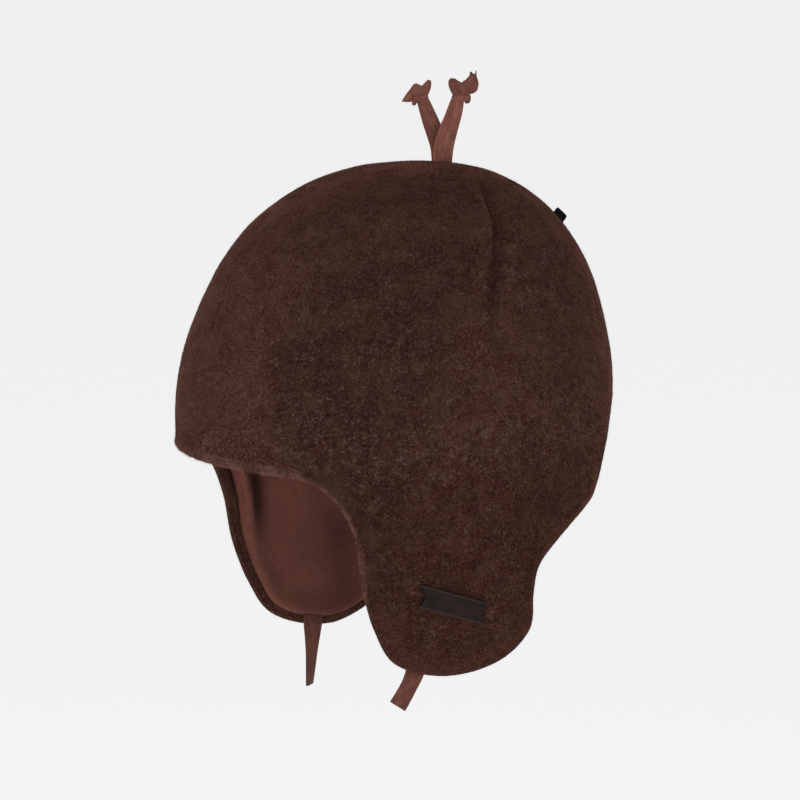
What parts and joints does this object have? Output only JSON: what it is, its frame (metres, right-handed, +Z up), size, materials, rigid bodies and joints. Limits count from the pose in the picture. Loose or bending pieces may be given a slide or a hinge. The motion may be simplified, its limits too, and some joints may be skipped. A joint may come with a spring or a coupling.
{
  "type": "fleece hat",
  "caption": "Child's deep fleece hat with rounded ear flaps, jersey lining, knotted ties on top, short chin ties and a bare leather label on one flap.",
  "frame": {"origin": "where the top of the head meets the lining, inside the crown", "axes": "+Z up as worn, -Y forward over the forehead, +X to the wearer's left"},
  "size_m": [0.1462, 0.1884, 0.2658],
  "materials": {
    "fleece": "napped wool fleece, mottled dark brown",
    "lining": "fine matt jersey, reddish brown",
    "tie_tape": "folded jersey tape with a stitch line, dusty red brown",
    "label_leather": "worn dark grey leather, bare",
    "tab_ribbon": "folded black ribbon, bare"
  },
  "bodies": {
    "root": {"left_shell_panel": "fleece", "right_shell_panel": "fleece", "left_lining_panel": "lining", "right_lining_panel": "lining", "left_top_tie": "tie_tape", "right_top_tie": "tie_tape", "left_chin_tie": "tie_tape", "right_chin_tie": "tie_tape", "label": "label_leather", "back_tab": "tab_ribbon"}
  },
  "joints": []
}
